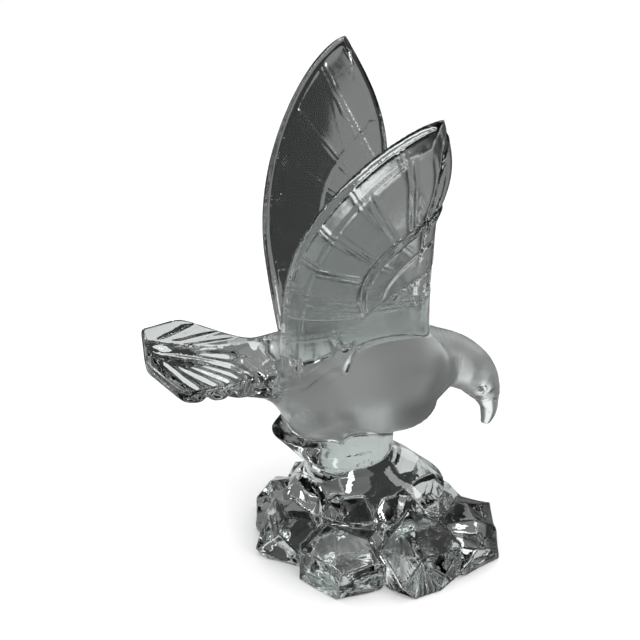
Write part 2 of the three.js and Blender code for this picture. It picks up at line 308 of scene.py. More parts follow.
# %% Spindles
def curve(points, steps):
    """A centripetal Catmull-Rom curve through points, the kind that doesn't overshoot."""
    p = np.array(points, float)
    p = np.vstack([2 * p[0] - p[1], p, 2 * p[-1] - p[-2]])
    gaps = np.sqrt(np.linalg.norm(np.diff(p, axis=0), axis=1))
    t = np.arange(steps)[:, None] / steps
    parts = []
    for k in range(1, len(p) - 2):
        a, b, c = gaps[k - 1:k + 2]
        leave = ((p[k] - p[k - 1]) / a - (p[k + 1] - p[k - 1]) / (a + b) + (p[k + 1] - p[k]) / b) * b
        arrive = ((p[k + 1] - p[k]) / b - (p[k + 2] - p[k]) / (b + c) + (p[k + 2] - p[k + 1]) / c) * b
        ahead = p[k + 1] - p[k]
        bend = leave + arrive - 2 * ahead
        parts.append(p[k] + leave * t + (3 * ahead - 2 * leave - arrive) * t**2 + bend * t**3)
    return np.vstack([*parts, p[-2]])


STEPS_PER_STATION = 8


class Spindle:
    def __init__(self, stations):
        table = np.array(stations, float)
        self.path = curve(table[:, :2], STEPS_PER_STATION)
        self.size = curve(table[:, 2:], STEPS_PER_STATION)
        way = np.gradient(self.path, axis=0)
        self.step = np.linalg.norm(way, axis=1)
        self.way = way / self.step[:, None]
        reach = self.size.max()
        low, high = self.path.min(0) - reach, self.path.max(0) + reach
        self.box = ((low[0], -reach, low[1]), (high[0], reach, high[1]))

    def at(self, values, s):
        k = np.clip(s.astype(int), 0, len(values) - 2)
        return mix(values[k], values[k + 1], (s - k)[:, None])

    def __call__(self, place):
        flat = place[:, ::2]
        gap = np.square(flat[:, None, :] - self.path).sum(-1)
        k = gap.argmin(1)
        ahead = ((flat - self.path[k]) * self.way[k]).sum(1) / self.step[k]
        s = np.clip(k + np.clip(ahead, -0.5, 0.5), 0, len(self.path) - 1)
        centre, way, size = (self.at(v, s) for v in (self.path, self.way, self.size))
        over = flat - centre
        rise = over[:, 1] * way[:, 0] - over[:, 0] * way[:, 1]
        along = (over * way).sum(1)
        offset = np.stack([rise, place[:, 1], along], -1)
        return stretched(offset, np.stack([size[:, 0], size[:, 1], size.min(1) / 2], -1))


# (x, z, half height, half width) of each station
SPINE = [
    (-60, 96, 9, 11),
    (-48, 94, 15.5, 17),
    (-32, 89, 22, 22),
    (-12, 86, 26, 25.5),
    (8, 84.5, 26.5, 26.5),
    (23, 90, 19, 20.5),
    (36, 90.5, 13.5, 14.5),
    (47, 84, 11.5, 12),
    (54.5, 76, 8.5, 9),
    (59.5, 70, 4, 5.5),
]
BEAK = [
    (50, 78, 8.5, 8),
    (55.5, 70.5, 7, 6.5),
    (58, 63, 4.8, 4.6),
    (58, 57, 3.8, 3),
    (57, 52.5, 2.6, 1.6),
]
body = Spindle(SPINE)
beak = Spindle(BEAK)
print("spine curve:", len(body.path), "places, beak curve:", len(beak.path))

# %% [markdown]
# ## The face
#
# A pressed face is simple: a brow over a round eye, a line where the horny beak starts, the split of
# the mouth and a nostril. Each is a small form joined to the head or cut from it, on both sides.

# %% Face
EYE = {"x": 50, "y": 11, "z": 76.5, "pit": 3.0, "lip": 0.8, "bead": 1.5, "sunk": 1.3, "seat": 0.3}
BROW = {"from": (42, 9.0, 84.0), "to": (54, 8.2, 78.0), "radius": 2.3, "soft": 3.0}
CERE = {"at": (56.5, 0, 69.5), "facing": (0.35, 0, -0.94), "wide": 0.8, "deep": 0.7, "from": (48, 51)}
MOUTH = {"from": (50.5, 9.6, 68.3), "to": (56.5, 4.6, 61.0), "radius": 1.3, "lip": 0.8}
NOSTRIL = {"at": (59.0, 4.4, 68.0), "radius": 1.0, "lip": 0.6}
BEAK_SOFT = 2.0


def face(place, head):
    """The head's distance with the features of both sides."""
    mirrored = np.abs(place[:, 1])
    half = np.stack([place[:, 0], mirrored, place[:, 2]], -1)
    head = blend(head, capsule(half, BROW["from"], BROW["to"], BROW["radius"]), BROW["soft"])
    eye = np.array([EYE["x"], EYE["y"], EYE["z"]])
    away = np.linalg.norm(half - eye, axis=1)
    head = carve(head, away - EYE["pit"], EYE["lip"])
    sunk = eye - np.array([0, EYE["sunk"], 0])
    head = blend(head, np.linalg.norm(half - sunk, axis=1) - EYE["bead"], EYE["seat"])
    cere = (place - CERE["at"]) @ np.array(CERE["facing"])
    near_beak = fade(*CERE["from"], place[:, 0])
    head = head + CERE["deep"] * line_mark(cere, CERE["wide"]) * near_beak
    head = carve(head, capsule(half, MOUTH["from"], MOUTH["to"], MOUTH["radius"]), MOUTH["lip"])
    return carve(head, np.linalg.norm(half - NOSTRIL["at"], axis=1) - NOSTRIL["radius"], NOSTRIL["lip"])


def bird_body(place):
    return face(place, blend(body(place), beak(place), BEAK_SOFT))


print("the eyes are", 2 * EYE["y"], "mm apart")

# %% [markdown]
# ## Wings
#
# Each wing is a leaf that leans outwards. Its outline is a formula in the plane of the leaf: how far
# it reaches behind and in front of the tip's line, all the way down. A small table of distances to
# that outline is worked out once and then read for every place, which is quick.

# %% Wing outline
TIP = {"x": 1.4, "y": 78.5, "z": 230.5}
WING_ROOT = {"y": 9.2, "z": 88.5}
LEAN = np.arctan2(TIP["y"] - WING_ROOT["y"], TIP["z"] - WING_ROOT["z"])
SPAN = np.hypot(TIP["y"] - WING_ROOT["y"], TIP["z"] - WING_ROOT["z"])
WING_BACK = 51.5
WING_BACK_FULL = 0.66
WING_BACK_ROUND = 0.65
ROOT_TAPER = {1: 9, -1: 1}
WING_FRONT = 21
WING_BULGE = {1: 8, -1: 4.5}
WING_BULGE_END = {1: 0.52, -1: 0.34}


def wing_back(side, u):
    full = np.sin(np.clip(u / WING_BACK_FULL, 0, 1) * np.pi / 2) ** WING_BACK_ROUND
    return ROOT_TAPER[side] * u**4 - WING_BACK * full


def wing_front(side, u):
    return WING_FRONT * u + WING_BULGE[side] * np.sin(np.clip(u / WING_BULGE_END[side], 0, 1) * np.pi)


OUTLINE_STEPS = 90
TABLE_CELL = 0.5
TABLE_LOW = np.array([-62.0, -8.0])
TABLE_SHAPE = (220, 350)


def outline_table(side):
    """How far inside the outline each place of the wing's plane is, on a grid."""
    u = (np.arange(OUTLINE_STEPS + 1) / OUTLINE_STEPS) ** 2
    rear = np.stack([wing_back(side, u), u * SPAN], -1)
    front = np.stack([wing_front(side, u), u * SPAN], -1)
    ring = np.vstack([rear, front[::-1]])
    grid = np.stack(np.meshgrid(*(np.arange(n) for n in TABLE_SHAPE), indexing="ij"), -1)
    at = TABLE_LOW + grid * TABLE_CELL
    nearest = np.full(TABLE_SHAPE, 1e9)
    inside = np.zeros(TABLE_SHAPE, bool)
    for a, b in zip(ring, np.roll(ring, -1, axis=0)):
        way = b - a
        t = np.clip((at - a) @ way / max(way @ way, 1e-9), 0, 1)
        nearest = np.minimum(nearest, np.square(at - a - t[..., None] * way).sum(-1))
        if way[1] != 0:
            spans = (a[1] > at[..., 1]) != (b[1] > at[..., 1])
            crossing = a[0] + (at[..., 1] - a[1]) * way[0] / way[1]
            inside ^= spans & (at[..., 0] < crossing)
    return np.where(inside, 1, -1) * np.sqrt(nearest)


def read_table(table, x, down):
    """The table's value between its grid places."""
    fine = (np.stack([x, down], -1) - TABLE_LOW) / TABLE_CELL
    fine = np.clip(fine, 0, np.array(TABLE_SHAPE) - 1.001)
    k = fine.astype(int)
    t = fine - k
    i, j = k[:, 0], k[:, 1]
    low = mix(table[i, j], table[i + 1, j], t[:, 0])
    return mix(low, mix(table[i, j + 1], table[i + 1, j + 1], t[:, 0]), t[:, 1])


OUTLINES = {side: outline_table(side) for side in (1, -1)}
print("wing outline: widest inside distance", round(float(OUTLINES[-1].max()), 1), "mm")

# %% [markdown]
# ## Feathers
#
# The long feathers fan out from a hub near the front of the wing, with a double line between each
# two. On the outer face the short coverts lie over them with a step, and a bevelled rim runs along the
# rear edge. The inner face is plainer, with finer lines. All of it is a thickness that is added to
# the wing or taken away, worked out from the angle and the distance to the hub.

# %% Feather relief
HUB = {"x": 8, "down": 100}
# The angle of each feather line where it leaves the coverts and where it meets the rim
OUTER_LINES = np.radians([(14.5, 12.5), (24, 25.5), (39.5, 43), (55, 65), (88, 84)])
INNER_HUB = {"x": 23.4, "down": 104}
INNER_LINES = np.radians([(a, a) for a in (22.4, 37.5, 53, 67, 81, 94, 107)])
FEATHER_LENGTH = 26
FEATHER_LINE = {"apart": 1.4, "wide": 0.7, "deep": 0.55}
INNER_LINE = {"apart": 1.1, "wide": 0.8, "deep": 0.3}
INNER_REACH = (34, 50)
COVERT_REACH = {"towards_tip": 56, "least": 24.5, "at_end": 27, "round": 0.6, "end_round": 1.5}
COVERT_BLUR = 0.1
COVERT_TURN = np.radians(95)
COVERT_START = np.radians(-8)
COVERT_END = np.radians(125)
COVERT_STEP = {"wide": 1.2, "deep": 1.5, "beyond": 0.8, "raised": 1.5, "edge": (-1, 0.5)}
COVERT_ROW = {"share": 0.72, "wide": 1.0, "deep": 0.45, "ends": (-3, -1)}
# The nearest way to a slanting edge, as a share of the way straight up or down to it
EDGE_SLANT = 0.8
# The lower edge of the coverts, as places in front of the tip's line and down the span
COVERT_FOOT = [(-30, 122), (-21, 108), (-16.4, 99.8), (-6.7, 88.6), (6.8, 81.3), (30, 76)]
DIMPLE = {"x": 4, "down": 95.5, "long": 11, "tall": 6, "deep": 2.4, "edge": (0.55, 1.0)}
# The long feathers fade in over these distances past the coverts, fade out over this distance before
# the rim line, and spread by this many radians to each side
FAN_START = (1.5, 3)
FAN_END = 1.5
FAN_ANGLE = 2.3
RIM_INSET = 7
RIM_LINE = {"wide": 0.8, "deep": 0.8, "from": (0.06, 0.12)}
# The rim line and the bevel lie behind this x. The bevel loses this share of its depth between these
# two shares of the span
BEVEL_FRONT = 2
BEVEL_LOSS = 0.6
BEVEL_LOSS_SPAN = (0.42, 0.62)
# How much of the outer relief the left wing (1) and the right wing (-1) have
OUTER_SHARE = {1: 0.2, -1: 1.0}
INNER_RIM = {"inset": 4, "wide": 0.8, "deep": 0.3}


def covert_reach(angle):
    beyond = np.clip((angle - COVERT_TURN) / (COVERT_END - COVERT_TURN), 0, 1)
    turned = np.clip(angle / COVERT_TURN, 0, 1)
    least = mix(COVERT_REACH["towards_tip"], COVERT_REACH["least"], turned**COVERT_REACH["round"])
    return mix(least, COVERT_REACH["at_end"], beyond**COVERT_REACH["end_round"])


def from_hub(hub, x, down):
    back_x, up = hub["x"] - x, hub["down"] - down
    return np.arctan2(back_x, up), np.hypot(back_x, up)


def double_lines(angle, reach, out, lines, size):
    """Pairs of fine grooves with a ridge between, along lines that may swing as they run out."""
    marks = np.zeros(len(angle))
    for start, end in lines:
        beside = np.abs(reach * np.sin(angle - mix(start, end, out)))
        marks = np.maximum(marks, line_mark(beside - size["apart"], size["wide"]))
    return size["deep"] * marks * (np.abs(angle) < FAN_ANGLE)


def outer_relief(x, down, inset):
    """Thickness added to the outer face, from a place in the wing's plane and how far inside it is."""
    angle, reach = from_hub(HUB, x, down)
    over = reach - covert_reach(angle)
    foot = np.array(COVERT_FOOT, float)
    under = (down - np.interp(x, foot[:, 0], foot[:, 1])) * EDGE_SLANT
    edge = np.maximum(over, under)
    turned = fade(COVERT_START - COVERT_BLUR, COVERT_START, angle)
    turned = turned * (1 - fade(COVERT_END, COVERT_END + COVERT_BLUR, angle))
    in_fan = fade(*FAN_START, edge) * fade(RIM_INSET, RIM_INSET + FAN_END, inset) * turned
    out = np.clip(over / FEATHER_LENGTH, 0, 1)
    lines = double_lines(angle, reach, out, OUTER_LINES, FEATHER_LINE) * in_fan
    covert = COVERT_STEP["raised"] * (1 - fade(*COVERT_STEP["edge"], edge)) * turned
    step = line_mark(edge - COVERT_STEP["beyond"], COVERT_STEP["wide"])
    covert = covert - COVERT_STEP["deep"] * step * turned
    row = line_mark(reach - covert_reach(angle) * COVERT_ROW["share"], COVERT_ROW["wide"])
    covert = covert - COVERT_ROW["deep"] * row * (1 - fade(*COVERT_ROW["ends"], under)) * turned
    hollow = np.hypot((x - DIMPLE["x"]) / DIMPLE["long"], (down - DIMPLE["down"]) / DIMPLE["tall"])
    dimple = DIMPLE["deep"] * (1 - fade(*DIMPLE["edge"], hollow))
    rim = RIM_LINE["deep"] * line_mark(inset - RIM_INSET, RIM_LINE["wide"])
    rim = rim * fade(*RIM_LINE["from"], down / SPAN)
    return covert - lines - dimple - rim * (x < BEVEL_FRONT)


def inner_relief(x, down, inset):
    """The same for the inner face, which has one fan of fine lines and no coverts."""
    angle, reach = from_hub(INNER_HUB, x, down)
    lines = double_lines(angle, reach, 0, INNER_LINES, INNER_LINE) * fade(*INNER_REACH, reach)
    rim = INNER_RIM["deep"] * line_mark(inset - INNER_RIM["inset"], INNER_RIM["wide"])
    return -lines * fade(INNER_RIM["inset"], INNER_RIM["inset"] + 1, inset) - rim


print("feather lines: outer face", len(OUTER_LINES), "and inner face", len(INNER_LINES))

# %% [markdown]
# ## From leaf to solid
#
# A place in space is first turned into the wing's own measures: the way in front of the tip's line,
# the way down the span and the way across, from a mid-surface that is cupped. The wing is solid
# where the way across is less than half the thickness and the outline is not yet crossed, and both
# limits meet in a round edge. The bevel takes depth from the outer face alone.

# %% Wing forms
TIP_THICK = 5
ROOT_THICK = 12
CUP = 6
ROOT_TURN = 0.7
ROOT_OUT = 4
RIM_LEAST = 1.2
EDGE_ROUND = 0.85
LEAF_LEAST = 0.5


def wing_plane(place, side):
    """A place as the way in front of the tip's line, down the span and towards the other wing."""
    x = place[:, 0] - TIP["x"]
    y = place[:, 1] - side * TIP["y"]
    z = place[:, 2] - TIP["z"]
    down = -side * np.sin(LEAN) * y - np.cos(LEAN) * z
    inward = -side * np.cos(LEAN) * y + np.sin(LEAN) * z
    u = np.clip(down / SPAN, 0, 1)
    rear, front = wing_back(side, u), wing_front(side, u)
    q = np.clip((x - rear) / np.maximum(front - rear, LEAF_LEAST), 0, 1)
    root = np.clip(u - ROOT_TURN, 0, 1) / (1 - ROOT_TURN)
    middle = CUP * np.sin(u * np.pi) * (2 * q - 1) ** 2 - ROOT_OUT * root**2
    return x, down, inward - middle, u


def wing(place, side):
    x, down, across, u = wing_plane(place, side)
    inset = read_table(OUTLINES[side], x, down)
    thick = mix(TIP_THICK, ROOT_THICK, u) / 2
    cut = (2 * thick - RIM_LEAST) * (1 - BEVEL_LOSS * fade(*BEVEL_LOSS_SPAN, u)) * (x < BEVEL_FRONT)
    cut = cut * (1 - np.clip(inset / RIM_INSET, 0, 1))
    inner = thick + inner_relief(x, down, inset)
    outer = thick + OUTER_SHARE[side] * (outer_relief(x, down, inset) - cut)
    half = (inner + outer) / 2
    rim = EDGE_ROUND * np.minimum(half, thick)
    return overlap(np.abs(across - (inner - outer) / 2) - half, -inset, rim)


WING_BOX = ((-56, 0, 76), (36, 84, 234))
lean = round(float(np.degrees(LEAN)), 1)
print("wing leans", lean, "degrees and spans", round(float(SPAN), 1), "mm")

# %% [markdown]
# ## Tail
#
# The fan widens and thins towards its corners and ends in a thick rim. Its top is a low roof, and the
# underside has flutes that spread from a star at the middle of the end, so the roof shows them
# bent and doubled.

# %% Tail form
TAIL_END = {"x": -109, "y": 18, "z": 111.5, "half": 7}
TAIL_CORNER = {"x": {1: -89.5, -1: -94.5}, "y": 38, "z": 105.5, "half": 8}
TAIL_ROOT = {"x": -46, "y": 15, "z": 94.5, "half": 14.5}
TAIL_CURVE = 1.15
TAIL_CURVE_TO = 1.5
TAIL_ROOF_FROM = 0.8
TAIL_ABOVE = 0.7
TAIL_SLOPE = 0.6
TAIL_RIM = 1.8
TAIL_ROUND = 7
TAIL_STAR = -107
TAIL_LEAST = 1
# The nearest way to a side edge, and to the slanted end, as shares of the way straight across
TAIL_SIDE_SLANT = 0.9
TAIL_END_SLANT = 0.7
# The distance to the whole tail is taken at this share
TAIL_STEADY = 0.9
FLUTES = np.radians([0, 11, 23, 37, 54])
FLUTE = {"wide": 2.4, "deep": 2.4, "reach": (3, 12), "share": (0.15, 0.6)}


def smooth_most(a, b, soft):
    return -blend(-a, -b, soft)


def tail(place):
    x, y, z = place.T
    corner = np.where(y > 0, TAIL_CORNER["x"][1], TAIL_CORNER["x"][-1])
    share = (TAIL_ROOT["x"] - x) / (TAIL_ROOT["x"] - corner)
    t = np.clip(share, 0, 1)
    beyond = (corner - x) / (corner - TAIL_END["x"])
    past = np.clip(beyond, 0, 1)
    opened = np.clip(share, 0, TAIL_CURVE_TO) ** TAIL_CURVE
    broad = mix(TAIL_ROOT["y"], TAIL_CORNER["y"], opened)
    closing = mix(TAIL_CORNER["y"], TAIL_END["y"], beyond)
    wide = np.minimum(broad, np.maximum(closing, TAIL_LEAST))
    middle, half = (
        mix(mix(TAIL_ROOT[k], TAIL_CORNER[k], t ** (TAIL_CURVE if k == "z" else 1)), TAIL_END[k], past)
        for k in ("z", "half")
    )
    v = np.clip(y / wide, -1, 1)
    roof = np.clip(t / TAIL_ROOF_FROM, 0, 1)
    rise = half * mix(np.sqrt(1 - v * v), 1 - TAIL_SLOPE * np.abs(v), roof)
    angle, reach = np.arctan2(np.abs(y), x - TAIL_STAR), np.hypot(y, x - TAIL_STAR)
    flute = sum(line_mark(reach * np.sin(angle - a), FLUTE["wide"]) for a in FLUTES)
    flute = FLUTE["deep"] * np.minimum(flute, 1) * fade(*FLUTE["reach"], reach) * fade(*FLUTE["share"], t)
    top = z - middle - rise * mix(1, TAIL_ABOVE, t)
    below = middle - rise + flute - z
    side, slanted = (np.abs(y) - broad) * TAIL_SIDE_SLANT, (np.abs(y) - closing) * TAIL_END_SLANT
    outline = smooth_most(side, slanted, TAIL_ROUND)
    end = np.maximum(TAIL_END["x"] - x, x - TAIL_ROOT["x"])
    d = np.maximum(top, below)
    for other in (outline, end):
        d = overlap(d, other, TAIL_RIM)
    return d * TAIL_STEADY


print("tail:", 2 * len(FLUTES) - 1, "flutes that spread from x =", TAIL_STAR, "mm")

# %% [markdown]
# ## Shoulders, thighs and stump
#
# The shoulder covers the root of the wing, the thigh ends in a point over the stump, and the stump
# has a broad smooth band with a waist below it. They are ellipsoids, and ellipses stacked in height.

# %% Shoulders, thighs and stump
SHOULDER = {"at": (0, 15.5, 98), "half": (28, 12, 26), "soft": 9.0}
THIGH = {
    "at": (-27, 9, 78.5), "half": (21, 15, 17), "soft": 5.0,
    "tip": (-21.5, 20.0, 63.5), "cone": (12.5, 0.6), "cone_soft": 3.0,
}
# The nearest way to the stump's slanting side, as a share of the way straight across
STUMP_SLANT = 0.8
# (z, x, half length, half width)
STUMP = [
    (24, -4, 40, 34),
    (36.5, -6.5, 28, 26),
    (43, -10.5, 22.5, 21),
    (47.5, -14, 21, 20),
    (50, -16.5, 24.5, 24),
    (56, -19, 27.5, 23),
    (61, -21.5, 30, 21),
    (74, -18, 24, 15),
]


def shoulder(place):
    """The left shoulder, for places folded onto that side."""
    off = place - SHOULDER["at"]
    y = off[:, 1] * np.cos(LEAN) - off[:, 2] * np.sin(LEAN)
    z = off[:, 1] * np.sin(LEAN) + off[:, 2] * np.cos(LEAN)
    return stretched(np.stack([off[:, 0], y, z], -1), np.array(SHOULDER["half"], float))


def thigh(place):
    full = stretched(place - THIGH["at"], np.array(THIGH["half"], float))
    start, end = np.array(THIGH["at"], float), np.array(THIGH["tip"], float)
    way = end - start
    t = np.clip((place - start) @ way / (way @ way), 0, 1)
    cone = np.linalg.norm(place - start - t[:, None] * way, axis=1) - mix(*THIGH["cone"], t)
    return blend(full, cone, THIGH["cone_soft"])


def stump(place):
    z = place[:, 2]
    rows = np.array(STUMP, float)
    x, long, wide = (np.interp(z, rows[:, 0], rows[:, k]) for k in (1, 2, 3))
    flat = np.stack([place[:, 0] - x, place[:, 1]], -1)
    ring = stretched(flat, np.stack([long, wide], -1))
    return np.maximum(ring * STUMP_SLANT, np.maximum(z - rows[-1, 0], rows[0, 0] - z))


print("stump:", len(STUMP), "rows up to", STUMP[-1][0], "mm")

# %% [markdown]
# ## Flank feathers
#
# Behind the shoulder the last feathers of the wing lie over the flank, and end there in a raised edge.
# They are the flank itself, grown by a little, kept only above a border, with fine lines that follow
# that border.

# %% Flank feathers
# (x, z) of the lower border, from the tail forwards, and of the front border, from below upwards
PAD_FOOT = [(-66, 89), (-50, 91.5), (-38.4, 95), (-30, 104), (-21.4, 103.3), (-10, 103.3)]
PAD_FRONT = [(-21.4, 103.3), (-18.1, 116), (-14, 126)]
PAD_THICK = 2.8
PAD_ROW = 4.2
PAD_LINE = {"wide": 0.8, "deep": 0.9}
PAD_PIT = {"at": (-24.5, 109), "radius": 4.0, "deep": 1.2, "floor": 0.5}
PAD_CORNER = 2.0
PAD_EDGE = 0.8


def flank(place):
    """The body, shoulder and thigh of the left side together."""
    whole = blend(body(place), shoulder(place), SHOULDER["soft"])
    return blend(whole, thigh(place), THIGH["soft"])


def pad_border(place):
    """How far outside the feathers' border each place is, seen from the side."""
    x, z = place[:, 0], place[:, 2]
    foot, front = np.array(PAD_FOOT), np.array(PAD_FRONT)
    below = (np.interp(x, foot[:, 0], foot[:, 1]) - z) * EDGE_SLANT
    ahead = x - np.interp(z, front[:, 1], front[:, 0])
    return smooth_most(below, ahead, PAD_CORNER)


def flank_feathers(place):
    x, z = place[:, 0], place[:, 2]
    border = pad_border(place)
    row = np.abs((border / PAD_ROW) % 1 - 0.5) * PAD_ROW
    lines = PAD_LINE["deep"] * line_mark(row, PAD_LINE["wide"])
    pit = np.hypot(x - PAD_PIT["at"][0], z - PAD_PIT["at"][1]) / PAD_PIT["radius"]
    lines = lines + PAD_PIT["deep"] * (1 - fade(PAD_PIT["floor"], 1, pit))
    return smooth_most(flank(place) - PAD_THICK + lines, border, PAD_EDGE)


print("flank feathers stand out by", PAD_THICK, "mm")

# %% [markdown]
# ## Rock
#
# The rock is two tiers of lumps. Each lump is the hull of a few points that a fixed rule pushes in
# and out, so the same rock comes out every time. Blender's hull gives the facets, and each facet is
# hollowed a little, like a flake struck from glass: that is what makes the ridges shine.

# %% Rock lumps
# (x, y, radius, height)
ROCK_LUMPS = [
    (-25, -39, 22.5, 27),
    (12, -41, 23, 28),
    (36, -32, 20, 23),
    (44, -14, 16, 15),
    (32, 12, 18, 12),
    (8, 31, 21, 16),
    (-22, 29, 20, 18),
    (-43.5, 12, 18, 23),
    (-45, -10, 18, 25),
    (-20, -19, 18, 38),
    (5, -23, 17, 36),
    (24, -12, 17, 30),
    (-33, 0, 16, 35),
    (-18, 14, 17, 31),
    (12, 8, 18, 28),
    (0, -3, 46, 16),
]
ROUGHNESS = 0.16
SIDE_SWING = 0.35
# (height, radius, sides) of each row of a lump's points
LUMP_ROWS = [(0.97, 0.42, 3), (0.66, 0.86, 5), (0.22, 1.0, 5), (-0.35, 0.9, 5)]
FACET_JOIN = np.radians(24)
HOLLOW = 0.06
RIDGE_SHARP = 5.0


def chance(n):
    wave = np.sin(n * 12.9898 + 4.1414) * 43758.5453
    return wave - np.floor(wave)


def lump_points(x, y, radius, tall, seed):
    points = []
    for r, (height, share, sides) in enumerate(LUMP_ROWS):
        for i in range(sides):
            n = seed * 31 + r * 7 + i
            a = ((i + 0.5 * (r % 2) + SIDE_SWING * (chance(n) - 0.5)) / sides + chance(seed)) * 2 * np.pi
            reach = radius * share * (1 + ROUGHNESS * (chance(n + 0.5) - 0.5) * 2)
            z = tall * (height + ROUGHNESS * (chance(n + 0.25) - 0.5))
            points.append((x + reach * np.cos(a), y + reach * np.sin(a), z))
    return points


class Lump:
    def __init__(self, *values):
        points = lump_points(*values)
        hull = bmesh.new()
        verts = [hull.verts.new(p) for p in points]
        bmesh.ops.convex_hull(hull, input=verts)
        bmesh.ops.dissolve_limit(hull, angle_limit=FACET_JOIN, verts=hull.verts, edges=hull.edges)
        inside = np.mean(points, axis=0)
        centres, radii = [], []
        for facet in hull.faces:
            facet.normal_update()
            middle, normal = np.array(facet.calc_center_median()), np.array(facet.normal)
            if (middle - inside) @ normal < 0:
                normal = -normal
            wide = max(np.linalg.norm(np.array(v.co) - middle) for v in facet.verts)
            sag = HOLLOW * wide
            radius = (wide**2 + sag**2) / (2 * sag)
            centres.append(middle + normal * (radius - sag))
            radii.append(radius)
        self.centres, self.radii = np.array(centres), np.array(radii)
        self.box = (np.min(points, axis=0), np.max(points, axis=0))
        hull.free()

    def __call__(self, place):
        away = self.radii - np.linalg.norm(place[:, None, :] - self.centres, axis=2)
        most = away.max(1)
        return most + np.log(np.exp((away - most[:, None]) * RIDGE_SHARP).sum(1)) / RIDGE_SHARP


lumps = [Lump(*values, i + 1) for i, values in enumerate(ROCK_LUMPS)]
print("rock:", len(lumps), "lumps,", sum(len(l.radii) for l in lumps), "facets")

# %% [markdown]
# ## The whole casting
#
# The forms are added one after another, each with its own softness: the shoulder melts into the back,
# while the wing keeps a crisp line where it meets the shoulder. A form is only asked about places
# near it, which saves most of the work.

# %% All forms together
def folded(form):
    """A form of the left side, used on both sides."""
    return lambda place: form(np.stack([place[:, 0], np.abs(place[:, 1]), place[:, 2]], -1))


def on_side(side, box):
    (x0, y0, z0), (x1, y1, z1) = box
    return ((x0, y0, z0), (x1, y1, z1)) if side == 1 else ((x0, -y1, z0), (x1, -y0, z1))


# (form, box, softness)
FORMS = [
    (bird_body, ((-66, -30, 48), (64, 30, 116)), 1.0),
    (folded(shoulder), ((-30, -40, 70), (30, 40, 126)), SHOULDER["soft"]),
    (folded(thigh), ((-50, -26, 60), (-4, 26, 98)), THIGH["soft"]),
    (folded(flank_feathers), ((-66, -34, 88), (-10, 34, 126)), 0.5),
    (tail, ((-110, -40, 78), (-44, 40, 118)), 5.0),
    (stump, ((-54, -36, 22), (38, 36, 76)), 2.0),
    (lambda place: wing(place, 1), on_side(1, WING_BOX), 1.6),
    (lambda place: wing(place, -1), on_side(-1, WING_BOX), 1.6),
    *((lump, lump.box, 0.7) for lump in lumps),
]
NEAR = 9.0
CHUNK = 60_000


def near(place, box, margin):
    low, high = np.array(box[0]) - margin, np.array(box[1]) + margin
    return np.all((place > low) & (place < high), axis=1)


def casting(place):
    """The distance to the surface of the whole casting, cut flat below."""
    found = np.full(len(place), FAR)
    for form, box, soft in FORMS:
        chosen = np.flatnonzero(near(place, box, NEAR))
        for start in range(0, len(chosen), CHUNK):
            some = chosen[start:start + CHUNK]
            found[some] = blend(found[some], form(place[some]), soft)
    return np.maximum(found, -place[:, 2])


print("casting:", len(FORMS), "forms")

# %% [markdown]
# ## From the rule to a mesh
#
# The rule is asked on a grid. A coarse look finds the blocks that the surface passes through, and only
# those are looked at closely. Then every small cell that the surface crosses gets one point, and
# each grid edge that it crosses gets one face between four such points. This is called a surface net:
# it is always closed, and its faces are even, which smooth glass needs.

# %% Surface net
CELL = 0.72
BLOCK = 4
MARGIN = 3
# A block is looked at closely when the surface is nearer to its middle than this many block sides
# and this many millimetres more
BLOCK_REACH = 1.15
BLOCK_SPARE = 0.8
# How far beside a point its slope is measured, the least square of a slope, and the longest move as
# a share of a cell
PROBE = 0.05
LEAST_STEEP = 0.3
LONGEST_MOVE = 0.45


def grid_of_casting():
    low = np.array(CAD_BOX[0]) / MM - MARGIN * CELL
    high = np.array(CAD_BOX[1]) / MM + MARGIN * CELL
    blocks = np.ceil((high - low) / (CELL * BLOCK)).astype(int) + 1
    index = np.stack(np.meshgrid(*(np.arange(n) for n in blocks), indexing="ij"), -1).reshape(-1, 3)
    rough = casting(low + (index + 0.5) * BLOCK * CELL)
    values = np.repeat(rough.astype(np.float32).reshape(blocks), BLOCK, 0).repeat(BLOCK, 1).repeat(BLOCK, 2)
    close = index[np.abs(rough) < BLOCK * CELL * BLOCK_REACH + BLOCK_SPARE]
    step = np.stack(np.meshgrid(*(np.arange(BLOCK),) * 3, indexing="ij"), -1).reshape(-1, 3)
    cells = (close[:, None] * BLOCK + step).reshape(-1, 3)
    values[tuple(cells.T)] = casting(low + cells * CELL)
    return low, values


